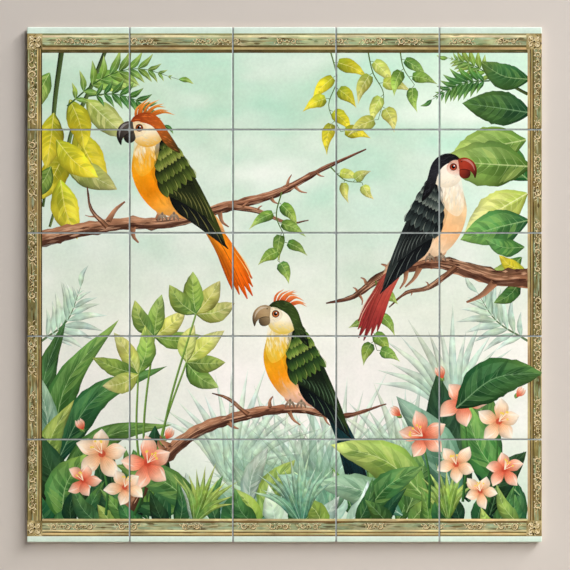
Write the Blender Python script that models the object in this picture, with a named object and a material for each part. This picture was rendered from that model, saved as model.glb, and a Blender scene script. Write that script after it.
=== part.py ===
"""A square wall mural of glazed ceramic tiles, ready to be fixed to a wall.

Five rows of five tiles stand upright in the XZ plane and face -Y.
They are held by a bed of set adhesive, whose flat back at y = 0 goes against the wall,
and the joints between them are filled with grout. Lengths are in metres.
"""

import math

import bmesh
import bpy
from mathutils import Matrix

# Driving dimensions
COLUMNS = 5
ROWS = 5
TILE_WIDTH = 0.152
TILE_THICKNESS = 0.0065
TILE_FACE_CORNER_RADIUS = 0.0006
TILE_EDGE_RADIUS = 0.0012
TILE_BACK_CHAMFER = 0.0005
JOINT_WIDTH = 0.002
GROUT_RECESS = 0.0007
BED_THICKNESS = 0.003
BED_SETBACK = 0.002
BED_CORNER_RADIUS = 0.006
CLEARANCE = 0.0003

# Facets of the round stretches
CORNER_SEGMENTS = 3
EDGE_SEGMENTS = 4
BED_CORNER_SEGMENTS = 5

# What follows from them: the pitch, the mural's sides and the levels from the wall outwards
TILE_CORNER_RADIUS = TILE_FACE_CORNER_RADIUS + TILE_EDGE_RADIUS
PITCH = TILE_WIDTH + JOINT_WIDTH
MURAL_WIDTH = COLUMNS * PITCH - JOINT_WIDTH
MURAL_HEIGHT = ROWS * PITCH - JOINT_WIDTH
TILE_BACK_Y = -(BED_THICKNESS + CLEARANCE)
TILE_FACE_Y = TILE_BACK_Y - TILE_THICKNESS
GROUT_FACE_Y = TILE_FACE_Y + GROUT_RECESS


def clear_scene():
    for old in list(bpy.data.objects):
        bpy.data.objects.remove(old, do_unlink=True)


def make_material(name, colour, roughness):
    material = bpy.data.materials.new(name)
    material.use_nodes = True
    shader = material.node_tree.nodes["Principled BSDF"]
    shader.inputs["Base Color"].default_value = (*colour, 1.0)
    shader.inputs["Roughness"].default_value = roughness
    shader.inputs["Metallic"].default_value = 0.0
    return material


def add_object(name, mesh, material, location=(0.0, 0.0, 0.0)):
    thing = bpy.data.objects.new(name, mesh)
    if not mesh.materials:
        mesh.materials.append(material)
    thing.location = location
    bpy.context.scene.collection.objects.link(thing)
    return thing


def rounded_ring(bm, half_width, half_height, radius, segments, y):
    """One closed ring of edges round a rectangle with round corners, at depth y."""
    ring = []
    for corner in range(4):
        start = corner * math.pi / 2
        side_x = 1 if corner in (0, 3) else -1
        side_z = 1 if corner in (0, 1) else -1
        for step in range(segments + 1):
            angle = start + step * math.pi / 2 / segments
            x = side_x * (half_width - radius) + radius * math.cos(angle)
            z = side_z * (half_height - radius) + radius * math.sin(angle)
            ring.append(bm.verts.new((x, y, z)))
    edges = [bm.edges.new((a, b)) for a, b in zip(ring, ring[1:] + ring[:1])]
    return ring, edges


def stacked_solid(name, half_width, half_height, radius, segments, levels):
    """A closed slab through rings at the given levels, each an inset and a depth."""
    bm = bmesh.new()
    rings = [
        rounded_ring(bm, half_width - inset, half_height - inset, radius - inset, segments, y)
        for inset, y in levels
    ]
    for (_, lower), (_, upper) in zip(rings, rings[1:]):
        bmesh.ops.bridge_loops(bm, edges=lower + upper)
    bm.faces.new(rings[0][0])
    bm.faces.new(rings[-1][0])
    bmesh.ops.recalc_face_normals(bm, faces=bm.faces)
    mesh = bpy.data.meshes.new(name)
    bm.to_mesh(mesh)
    bm.free()
    return mesh


def tile_mesh():
    """One tile about its own centre line, from the chamfered back to the rounded face."""
    levels = [
        (TILE_BACK_CHAMFER, TILE_BACK_Y),
        (0.0, TILE_BACK_Y - TILE_BACK_CHAMFER),
    ]
    for step in range(EDGE_SEGMENTS + 1):
        angle = step * math.pi / 2 / EDGE_SEGMENTS
        inset = TILE_EDGE_RADIUS * (1 - math.cos(angle))
        rise = TILE_EDGE_RADIUS * (1 - math.sin(angle))
        levels.append((inset, TILE_FACE_Y + rise))
    mesh = stacked_solid(
        "tile", TILE_WIDTH / 2, TILE_WIDTH / 2, TILE_CORNER_RADIUS, CORNER_SEGMENTS, levels
    )
    mesh.shade_smooth()
    mesh.set_sharp_from_angle(angle=math.radians(40))
    return mesh


def add_tiles(material):
    """The tiles, counted from the top left as seen from the front."""
    mesh = tile_mesh()
    for row in range(ROWS):
        for column in range(COLUMNS):
            x = (column - (COLUMNS - 1) / 2) * PITCH
            z = ((ROWS - 1) / 2 - row) * PITCH
            add_object(f"tile_row_{row + 1}_column_{column + 1}", mesh, material, (x, 0.0, z))


def joint_lines(count, length):
    """Where the grout starts and stops along one direction, with the mural's own ends."""
    half_strip = JOINT_WIDTH / 2 - CLEARANCE
    lines = [-length / 2 + GROUT_RECESS]
    for joint in range(1, count):
        centre = -length / 2 - JOINT_WIDTH / 2 + joint * PITCH
        lines += [centre - half_strip, centre + half_strip]
    lines.append(length / 2 - GROUT_RECESS)
    return lines


def add_grout(material):
    """All the joints as one lattice: a net of lines with the tiles' cells taken out, thickened."""
    across = joint_lines(COLUMNS, MURAL_WIDTH)
    upward = joint_lines(ROWS, MURAL_HEIGHT)
    bm = bmesh.new()
    rows = [[bm.verts.new((x, GROUT_FACE_Y, z)) for x in across] for z in upward]
    for j in range(len(upward) - 1):
        for i in range(len(across) - 1):
            if i % 2 == 0 and j % 2 == 0:
                continue
            bm.faces.new((rows[j][i], rows[j][i + 1], rows[j + 1][i + 1], rows[j + 1][i]))
    loose = [v for v in bm.verts if not v.link_faces]
    bmesh.ops.delete(bm, geom=loose, context="VERTS")
    grown = bmesh.ops.extrude_face_region(bm, geom=bm.faces[:])
    back = [part for part in grown["geom"] if isinstance(part, bmesh.types.BMVert)]
    bmesh.ops.translate(bm, verts=back, vec=(0.0, TILE_BACK_Y - GROUT_FACE_Y, 0.0))
    bmesh.ops.recalc_face_normals(bm, faces=bm.faces)
    mesh = bpy.data.meshes.new("grout")
    bm.to_mesh(mesh)
    bm.free()
    add_object("grout", mesh, material)


def add_adhesive_bed(material):
    """The set adhesive that carries the tiles, a little inside their outer edges."""
    mesh = stacked_solid(
        "adhesive_bed",
        MURAL_WIDTH / 2 - BED_SETBACK,
        MURAL_HEIGHT / 2 - BED_SETBACK,
        BED_CORNER_RADIUS,
        BED_CORNER_SEGMENTS,
        [(0.0, 0.0), (0.0, -BED_THICKNESS)],
    )
    add_object("adhesive_bed", mesh, material)


def main():
    clear_scene()
    add_tiles(make_material("glazed_tile", (0.62, 0.77, 0.64), 0.18))
    add_grout(make_material("grout", (0.26, 0.29, 0.27), 0.85))
    add_adhesive_bed(make_material("adhesive", (0.50, 0.48, 0.45), 0.90))


main()
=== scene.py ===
import math

import bmesh
import bpy
import numpy as np
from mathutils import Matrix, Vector
from mathutils.geometry import delaunay_2d_cdt


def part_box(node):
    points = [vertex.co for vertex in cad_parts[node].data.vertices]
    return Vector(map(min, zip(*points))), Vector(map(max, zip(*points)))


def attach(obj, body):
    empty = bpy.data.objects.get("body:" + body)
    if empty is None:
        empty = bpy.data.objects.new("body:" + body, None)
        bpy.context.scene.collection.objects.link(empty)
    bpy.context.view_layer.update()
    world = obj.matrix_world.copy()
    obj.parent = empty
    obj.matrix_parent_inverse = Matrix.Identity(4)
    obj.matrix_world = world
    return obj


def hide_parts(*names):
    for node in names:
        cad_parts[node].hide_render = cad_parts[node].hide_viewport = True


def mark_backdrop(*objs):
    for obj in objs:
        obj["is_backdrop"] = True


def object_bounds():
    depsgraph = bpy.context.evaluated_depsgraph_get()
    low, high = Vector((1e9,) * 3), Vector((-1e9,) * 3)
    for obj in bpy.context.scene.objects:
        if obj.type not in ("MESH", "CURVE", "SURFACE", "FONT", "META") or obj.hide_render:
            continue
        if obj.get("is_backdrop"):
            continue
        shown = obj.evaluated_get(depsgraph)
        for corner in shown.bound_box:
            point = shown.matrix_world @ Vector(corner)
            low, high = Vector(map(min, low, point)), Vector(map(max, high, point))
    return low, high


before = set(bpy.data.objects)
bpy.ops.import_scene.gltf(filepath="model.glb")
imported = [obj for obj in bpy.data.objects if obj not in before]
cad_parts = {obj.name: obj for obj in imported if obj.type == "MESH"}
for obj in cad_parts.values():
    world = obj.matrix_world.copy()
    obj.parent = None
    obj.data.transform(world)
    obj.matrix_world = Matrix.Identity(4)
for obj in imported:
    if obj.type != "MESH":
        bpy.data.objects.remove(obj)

cadLow, cadHigh = (Vector(corner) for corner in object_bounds())
scene = bpy.context.scene
scene.view_settings.view_transform = "Standard"
print("frame loaded:", len(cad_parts), "nodes")

# The picture is drawn in millimetres from the mural's lower left corner, x to the right and y up.
# Each painted shape is an outline with a function that gives its colour and cover at any point.
mural = {"side": 768.0, "count": 5}
dice = np.random.default_rng(41)
shapes = []


def colour(text):
    return np.array([int(text[k:k + 2], 16) / 255 for k in (0, 2, 4)])


def between(low, high):
    return dice.uniform(low, high)


# Evenly sampled points on a smooth curve through the given ones
def smoothPath(points, count):
    p = np.array(points, float)
    ends = np.vstack([2 * p[0] - p[1], p, 2 * p[-1] - p[-2]])
    t = np.linspace(0, len(p) - 1, count)
    i = np.minimum(t.astype(int), len(p) - 2)
    u = (t - i)[:, None]
    a, b, c, d = ends[i], ends[i + 1], ends[i + 2], ends[i + 3]
    return 0.5 * (2 * b + (c - a) * u + (2 * a - 5 * b + 4 * c - d) * u**2 + (3 * b - a - 3 * c + d) * u**3)


# Soft random cloudiness from -1 to 1, with patches of about the given size
def blotches(points, size, seed):
    total, share = 0.0, 0.68
    for octave in range(2):
        q = points / (size / 2**octave) + seed * 17.3 + octave * 5.1
        i = np.floor(q)
        f = q - i
        f = f * f * (3 - 2 * f)
        corners = []
        for dx, dy in ((0, 0), (1, 0), (0, 1), (1, 1)):
            h = np.sin((i[:, 0] + dx) * 127.1 + (i[:, 1] + dy) * 311.7 + seed) * 43758.5453
            corners.append(2 * (h - np.floor(h)) - 1)
        low = corners[0] + (corners[1] - corners[0]) * f[:, 0]
        high = corners[2] + (corners[3] - corners[2]) * f[:, 0]
        total = total + share * (low + (high - low) * f[:, 1])
        share /= 2
    return total


# A colour along a row of evenly spaced stops, for s from 0 to 1
def ramp(stops, s):
    stops = np.array([colour(c) if isinstance(c, str) else c for c in stops])
    if len(stops) == 1:
        return np.repeat(stops, len(s), 0)
    at = np.linspace(0, 1, len(stops))
    return np.stack([np.interp(s, at, stops[:, k]) for k in range(3)], 1)


# Which points lie inside an outline, by counting how often it winds round them
def insideOf(points, outline):
    x, y = points[:, :1], points[:, 1:]
    ax, ay = outline[:, 0], outline[:, 1]
    bx, by = np.roll(ax, -1), np.roll(ay, -1)
    side = (bx - ax) * (y - ay) - (x - ax) * (by - ay)
    up = (ay <= y) & (by > y) & (side > 0)
    down = (ay > y) & (by <= y) & (side < 0)
    return up.sum(1) != down.sum(1)


def addShape(outline, paint, solid):
    outline = np.asarray(outline, float)
    keep = np.linalg.norm(outline - np.roll(outline, 1, 0), axis=1) > 0.02
    if keep.sum() > 2:
        outline = outline[keep]
        shapes.append((outline, outline.min(0), outline.max(0), paint, solid))


# How far along (0 to 1) and across (-1 to 1) a brushed stroke each point lies
def alongAndAcross(points, path, halfWidth):
    a, d = path[:-1], np.diff(path, axis=0)
    length = np.linalg.norm(d, axis=1) + 1e-9
    rel = points[:, None] - a
    u = np.clip((rel * d).sum(2) / length**2, 0, 1)
    off = rel - u[..., None] * d
    j = (off**2).sum(2).argmin(1)
    k = np.arange(len(points))
    start = np.concatenate([[0], np.cumsum(length)])
    s = (start[j] + u[k, j] * length[j]) / start[-1]
    cross = (d[j, 0] * rel[k, j, 1] - d[j, 1] * rel[k, j, 0]) / length[j]
    width = np.interp(s, np.linspace(0, 1, len(halfWidth)), halfWidth) + 0.05
    return s, np.clip(cross / width, -1, 1)


# A brushed stroke along a curve: full widths and colours at even steps, from its start to its end
def stroke(points, widths, stops, shade=0.0, rim=0.0, cover=(1.0, 1.0), count=None, mottle=0.05, size=14,
           wobble=0.0, tint=0.0):
    points = np.array(points, float)
    reach = np.linalg.norm(np.diff(points, axis=0), axis=1).sum()
    count = count or int(np.clip(reach / 5, 5, 26))
    path = smoothPath(points, count)
    even = np.linspace(0, 1, count)
    half = np.interp(even, np.linspace(0, 1, len(widths)), widths) / 2
    lead = np.gradient(path, axis=0)
    side = np.stack([-lead[:, 1], lead[:, 0]], 1) / (np.linalg.norm(lead, axis=1)[:, None] + 1e-9)
    right, left = half, half
    if wobble:
        right = half * (1 + dice.normal(0, wobble, count))
        left = half * (1 + dice.normal(0, wobble, count))
    seed = between(0, 50)
    span = cover if isinstance(cover, tuple) else (cover, cover)

    def paint(p):
        s, t = alongAndAcross(p, path, half)
        c = ramp(stops, s)
        c = c * (1 + shade * t - rim * np.abs(t)**3 + mottle * blotches(p, size, seed))[:, None]
        if tint:
            c = c + (blotches(p, size * 1.6, seed + 9) * tint)[:, None] * [1.0, 0.55, -0.3]
        return c, np.interp(s, np.linspace(0, 1, len(span)), span)

    addShape(np.vstack([path - side * right[:, None], (path + side * left[:, None])[::-1]]), paint,
             min(span) == 1)
    return path


# A filled outline whose colours run from one point to another
def patch(outline, stops, start, end, count=0, rim=0.0, cover=1.0, mottle=0.05, size=16, bulge=0.0):
    outline = np.array(outline, float)
    if count:
        outline = smoothPath(np.vstack([outline, outline[:1]]), count)[:-1]
    start, end = np.array(start, float), np.array(end, float)
    way = (end - start) / ((end - start)**2).sum()
    middle = outline.mean(0)
    reach = np.linalg.norm(outline - middle, axis=1).mean()
    seed = between(0, 50)

    def paint(p):
        c = ramp(stops, np.clip(((p - start) * way).sum(1), 0, 1))
        far = np.clip(np.linalg.norm(p - middle, axis=1) / reach, 0, 1.3)
        glow = 1 - rim * far**3 + bulge * (1 - far**2) + mottle * blotches(p, size, seed)
        return c * glow[:, None], np.full(len(p), cover)

    addShape(outline, paint, cover == 1)


def disc(centre, radius, stops, count=12, squash=1.0, **more):
    turn = np.linspace(0, 2 * math.pi, count, endpoint=False)
    ring = np.stack([np.cos(turn), squash * np.sin(turn)], 1) * radius + centre
    up = np.array([0, radius])
    patch(ring, stops, centre - up, centre + up, mottle=0, **more)


def direction(angle):
    return np.array([math.cos(math.radians(angle)), math.sin(math.radians(angle))])


def headingOf(step):
    return math.degrees(math.atan2(step[1], step[0]))


# Unit vectors along a path and to its left
def alongPath(path):
    lead = np.gradient(path, axis=0)
    lead /= np.linalg.norm(lead, axis=1)[:, None]
    return lead, np.stack([-lead[:, 1], lead[:, 0]], 1)


# Leaf greens, each from the base of a leaf to its tip, with the colour of its ribs
greens = {
    "deep": (["1f462a", "386637", "5d8c4a"], "93b583"),
    "rich": (["2f5b2b", "4e803e", "86a955"], "b4cd8c"),
    "fresh": (["557d34", "86a74b", "bacb6e"], "dbe5a2"),
    "lemon": (["a2ac2e", "d9cb31", "f2df46"], "f6eea0"),
    "spring": (["9fb04a", "cacd68", "e9e398"], "f2f0c6"),
    "sea": (["4b8163", "7faa88", "b4ceae"], "d9e6d2"),
    "haze": (["a4c7a8", "bfd9bf", "d8e7d3"], "e8f2e6"),
    "ink": (["142b1b", "213f27", "335a38"], "628a5c"),
}
stemTones = {"vine": "55702f", "frond": "3c5a2c"}
# Half widths of a leaf from its base to its tip
leafForms = {
    "oval": [0.06, 0.55, 0.9, 1.0, 0.93, 0.72, 0.42, 0.0],
    "lance": [0.05, 0.5, 0.85, 1.0, 0.95, 0.8, 0.62, 0.42, 0.22, 0.0],
    "heart": [0.55, 0.98, 1.0, 0.86, 0.62, 0.36, 0.14, 0.0],
    "blade": [0.35, 0.75, 0.95, 1.0, 0.9, 0.7, 0.45, 0.2, 0.0],
}


# A washed leaf: uneven colour, a darker rim where the paint dried, soft side ribs and a pale midrib
def leaf(base, angle, length, width, tone="rich", form="oval", bend=0.12, ribs=6, cover=1.0):
    base = np.array(base, float)
    ahead, left = direction(angle), direction(angle + 90)
    stops, ribColour = greens[tone]
    light = between(0.92, 1.08)
    stops = [colour(c) * light + (between(-0.025, 0.025), 0, between(-0.02, 0.02)) for c in stops]
    middle = base + ahead * length * 0.5 + left * length * bend
    tip = base + ahead * length
    profile = [w * width for w in leafForms[form]]
    lit = 0.13 if left[1] > 0 else -0.13
    path = stroke([base, middle, tip], profile, stops, shade=lit, rim=0.2, cover=cover,
                  count=int(np.clip(length / 4.5, 8, 24)), mottle=0.22, size=width * 0.6, wobble=0.03,
                  tint=0.06)
    half = np.interp(np.linspace(0, 1, len(path)), np.linspace(0, 1, len(profile)), profile) / 2
    lead, side = alongPath(path)
    if length > 85 and ribs:
        # Broad soft washes: a cool light on the upper half and a dark one by the midrib of the other
        up = 1 if left[1] > 0 else -1
        inner = slice(2, len(path) - 3)
        stroke((path + side * (up * half * 0.52)[:, None])[inner], [0, width * 0.26, width * 0.2, 0],
               [stops[2] * 0.9 + 0.1, stops[2] * 0.85 + (0.1, 0.13, 0.14)], cover=(0.1, 0.42, 0.1),
               count=10, mottle=0.1)
        stroke((path - side * (up * half * 0.3)[:, None])[inner], [0, width * 0.22, width * 0.1, 0],
               [stops[0] * 0.7], cover=(0.5, 0.35, 0.1), count=10, mottle=0.1)
    for k in range(ribs):
        at = (k + 0.6) / (ribs + 0.8) * 0.84
        i = at * (len(path) - 1)
        j = int(i)
        root = path[j] + (path[j + 1] - path[j]) * (i - j)
        for way in (-1, 1):
            m = int(min(at + between(0.15, 0.25), 0.97) * (len(path) - 1))
            end = path[m] + side[m] * way * half[m] * between(0.72, 0.93)
            bow = (root + end) / 2 - lead[j] * half[j] * 0.12
            drift = lead[j] * width / 14
            deep = between(0, 1) < 0.6
            stroke([root + drift, bow + drift, end + drift], [width / 16, width / 6.5, 0],
                   [stops[0] * 0.82, stops[1] * 0.86] if deep else [stops[2], stops[2] * 1.06],
                   cover=between(0.22, 0.5) * cover, count=6, mottle=0)
            stroke([root, bow, end], [max(width / 60, 0.4), max(width / 90, 0.3), 0], [ribColour],
                   cover=(0.42 * cover, 0.08 * cover), count=5, mottle=0)
    stroke(path[::2] if len(path) > 12 else path, [max(width / 28, 0.6), 0.3], [ribColour],
           cover=0.6 * cover, count=max(6, len(path) // 2), mottle=0)


# A rachis with leaflets down both sides, longest in the middle
def frond(points, leaflets, reach, tone, width=0.2, cover=1.0):
    path = smoothPath(points, leaflets + 2)
    stroke(points, [reach / 22 + 0.8, 0.5], [stemTones["frond"]], cover=cover, count=leaflets + 2)
    for k in range(1, leaflets + 1):
        heading = headingOf(path[k + 1] - path[k - 1])
        size = reach * math.sin(math.pi * (0.16 + 0.78 * k / leaflets))
        lean = 62 * (1 - 0.45 * k / leaflets)
        for way in (-1, 1):
            leaf(path[k], heading + way * (lean + between(-5, 5)), size * between(0.9, 1.08), size * width,
                 tone, "lance", bend=-0.07 * way, ribs=0, cover=cover)
    leaf(path[-1], headingOf(path[-1] - path[-2]), reach * 0.6, reach * width * 0.7, tone, "lance", ribs=0,
         cover=cover)


# Narrow blades that open from one root, the outer ones bowed outwards
def fan(base, heading, spread, blades, length, tone, width, cover=1.0):
    for k in dice.permutation(blades):
        off = (k / (blades - 1) - 0.5) * spread
        size = length * between(0.75, 1.05) * (1 - abs(off) / 260)
        bow = -0.24 * off / spread
        leaf(np.array(base) + direction(heading + off) * between(0, 6), heading + off, size,
             width * between(0.8, 1.2), tone, "blade", bend=bow, ribs=0, cover=cover)


bark = {"wood": ["8d5f43", "a9795a", "8a5a41", "6d4433"], "shade": "3f241b", "gloss": "d9a985"}


# A branch with a shaded underside, a lit top, bark streaks and short side twigs
def branch(points, widths, knots):
    reach = np.linalg.norm(np.diff(np.array(points, float), axis=0), axis=1).sum()
    count = int(reach / 9)
    path = stroke(points, widths, bark["wood"], shade=0.25, rim=0.2, count=count, mottle=0.2, size=10,
                  wobble=0.13)
    even = np.linspace(0, 1, count)
    full = np.interp(even, np.linspace(0, 1, len(widths)), widths)
    lead, up = alongPath(path)
    up *= np.where(up[:, 1] < 0, -1, 1)[:, None]
    stroke(path - up * full[:, None] * 0.3, full * 0.4, [bark["shade"]], cover=0.66, count=count,
           mottle=0.2, wobble=0.25)
    for _ in range(int(reach / 3.6)):
        i = int(between(1, count - 6))
        run = int(between(2, 6))
        height = between(-0.42, 0.44)
        offset = up[i:i + run] * full[i:i + run, None] * height
        dark = between(0, 1) < 0.5 - height * 0.6
        stroke(path[i:i + run] + offset, [0, full[i] * between(0.08, 0.2), 0],
               [bark["shade"] if dark else bark["gloss"]], cover=between(0.3, 0.8), count=6, wobble=0.2)
    for _ in range(knots):
        i = int(between(2, count - 3))
        way = 1 if between(0, 1) < 0.5 else -1
        root = path[i] + up[i] * way * full[i] * 0.3
        tilt = lead[i] * between(-0.4, 0.9) + up[i] * way
        size = full[i] * between(0.8, 1.7)
        stroke([root, root + tilt * size * 0.6, root + tilt * size + lead[i] * size * 0.3],
               [full[i] * 0.5, full[i] * 0.3, full[i] * 0.12], bark["wood"][:3], shade=0.2, count=6,
               mottle=0.15)
        disc(root, full[i] * 0.16, [bark["shade"]], count=8, squash=0.6, cover=0.6)
    return path


def vine(points, leaves, size, tone):
    path = smoothPath(points, leaves + 2)
    stroke(points, [2.2, 0.8], [stemTones["vine"]], count=18)
    for k in range(1, leaves + 2):
        way = 1 if k % 2 else -1
        heading = headingOf(path[k] - path[k - 1])
        root = path[k] + direction(heading + 70 * way) * size * 0.14
        stroke([path[k], root], [0.9, 0.7], [stemTones["vine"]], count=3)
        leaf(root, heading + way * between(24, 52), size * between(0.8, 1.15), size * between(0.42, 0.52),
             tone, "heart", bend=0.08 * way, ribs=5)


flowerColours = {"coral": ["d9573a", "ee8a68", "f7bfa0", "fbdcc4"],
                 "peach": ["e79a5f", "f6c596", "fbe0c0", "fdf0dc"], "vein": "c6452f", "heart": "f3cf57"}


def petal(root, angle, length, width, tone, curl):
    ahead, left = direction(angle), direction(angle + 90)
    root = np.array(root, float)
    middle = root + ahead * length * 0.55 + left * length * curl
    tip = root + ahead * length
    stops = flowerColours[tone]
    stroke([root, middle, tip], [width * w for w in (0.2, 0.5, 0.82, 1.0, 1.0, 0.78, 0.42, 0.0)], stops,
           shade=0.06, rim=0.1, count=14, mottle=0.08, size=9)
    for k in range(-3, 4):
        end = middle * 0.35 + tip * 0.65 + left * width * 0.12 * k
        stroke([root, (root + end) / 2 + left * width * 0.07 * k + left * length * curl * 0.5, end],
               [0.8, 0.5, 0], [flowerColours["vein"], stops[1]], cover=(0.75, 0.15), count=5)
    stroke([root + ahead * length * 0.45 + left * width * 0.3, tip + left * width * 0.05],
           [0, width * 0.16, 0], ["fff4e8"], cover=0.5, count=6)


# An open flower: broad petals round a dark throat, and a tuft of stamens
def blossom(centre, size, tone, heading, petals=5):
    centre = np.array(centre, float)
    for k in range(petals):
        turn = heading + 180 + (k - (petals - 1) / 2) * 360 / petals + between(-7, 7)
        petal(centre, turn, size * between(0.86, 1.06), size * 0.58, tone, curl=between(-0.1, 0.1))
    disc(centre, size * 0.13, [flowerColours["vein"]], cover=0.7)
    for k in range(6):
        turn = heading + between(-38, 38)
        tip = centre + direction(turn) * size * between(0.34, 0.52)
        stroke([centre, tip], [0.8, 0.6], ["fbe9c8"], count=3)
        disc(tip, size * 0.035 + 0.4, [flowerColours["heart"]], count=7)


def bud(root, angle, size, tone):
    leaf(root, angle, size * 0.55, size * 0.34, "fresh", "oval", ribs=0)
    for k in (-1, 1, 0):
        petal(root + direction(angle) * size * 0.2, angle + 13 * k, size * between(0.75, 0.9), size * 0.34,
              tone, curl=0.05 * k)


def stem(points, tone, width):
    stroke(points, [width, width * 0.7], greens[tone][0][:2], shade=0.25, rim=0.15)


# A bird is drawn facing right in its own units, with its feet at the origin, then turned, flipped and sized
plumages = {"amber": {"breast": ["f8b436", "f39c16", "e4820c"], "belly": ["f3a640", "e8a76c"],
                      "throat": "fbe9c6", "cap": ["a8431c", "c25f22", "4b3a1c"],
                      "crest": ["b4501c", "e98a32", "f4b765"], "wing": ["15170f", "2a3119", "4f5c26"],
                      "coverts": ["39461d", "6d7d33", "a9ad55"], "tail": ["f7a92c", "ee7a16", "d4500e"],
                      "flight": ["0f1112", "23261f"], "edge": "8f8a4a",
                      "bill": ["6b6258", "443c36", "1f1b19"], "ring": "3c2a20", "iris": "b5541c",
                      "mask": "f6d9a8", "tailEdge": "f9cf7a"},
            "rose": {"breast": ["fbe9c8", "f6cd96", "f0b57c"], "belly": ["f7d5ae", "eeb98c"],
                     "throat": "fdf1dc", "cap": ["171718", "26262a", "141415"],
                     "crest": ["141415", "2e2e33", "56565c"], "wing": ["131516", "242827", "414a46"],
                     "coverts": ["232a29", "4b5650", "8b9284"], "tail": ["c9705a", "bf4a3e", "8f2a2c"],
                     "flight": ["0e1011", "1f2325"], "edge": "737a72",
                     "bill": ["c2452c", "9a3222", "4a1c16"], "ring": "241a1a", "iris": "c2462a",
                     "mask": "e9b49c", "tailEdge": "ecb79c"},
            "gold": {"breast": ["fad24a", "f6ae1e", "e98f16"], "belly": ["f0bf9e", "e0a283"],
                     "throat": "faeed2", "cap": ["2d3a1c", "3f5424", "141a14"],
                     "crest": ["cf4a22", "ee8242", "f5b27a"], "wing": ["0f1210", "1e2a1b", "3d5226"],
                     "coverts": ["28401f", "5b7a30", "a2b053"], "tail": ["13262a", "1c3f42", "0c181b"],
                     "flight": ["0b0f10", "182021"], "edge": "5f7d5a",
                     "bill": ["d9b98a", "a98a60", "4f4030"], "ring": "241d18", "iris": "d9763a",
                     "mask": "f7e7c4", "tailEdge": "3f6c6b"}}
birdLines = {"body": [(-30, -7), (-12, -2), (5, 2), (20, 10), (34, 28), (41, 49), (40, 66), (35, 80),
                      (27, 93), (8, 97), (-4, 84), (-16, 63), (-28, 37), (-37, 12), (-39, -3)],
             "wing": [(4, 90), (12, 83), (15, 71), (12, 55), (4, 38), (-8, 22), (-24, 4), (-42, -16),
                      (-60, -36), (-54, -12), (-42, 16), (-29, 43), (-15, 68), (-3, 85)],
             "neck": [(39, 72), (38, 56), (31, 46), (20, 52), (12, 66), (9, 84), (10, 96), (24, 102),
                      (35, 94)],
             "head": [(39, 107), (34, 114), (24, 117.5), (13, 114.5), (6, 107), (3, 95), (8, 84), (20, 79),
                      (32, 82), (39, 92)],
             "cap": [(39.5, 109), (34, 115), (24, 118), (13, 115), (5, 107), (-1, 94), (-8, 80), (-12, 68),
                     (-2, 74), (6, 84), (10, 93), (15, 101), (23, 106), (32, 107.5)],
             "mask": [(39, 108), (31, 109), (24, 105.5), (22, 99.5), (26, 93.5), (34, 91), (39, 93)],
             "upper": [(36.5, 109.4), (43, 110.4), (50, 107.6), (55, 101.4), (56, 93), (52.6, 84.6),
                       (50.6, 90.6), (47, 95), (41, 96.6), (36.5, 96.4)],
             "lower": [(36, 97), (41, 97.4), (46.6, 95.6), (48.6, 91.4), (45.4, 86.6), (40, 86.4),
                       (35.6, 90)]}


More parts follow.
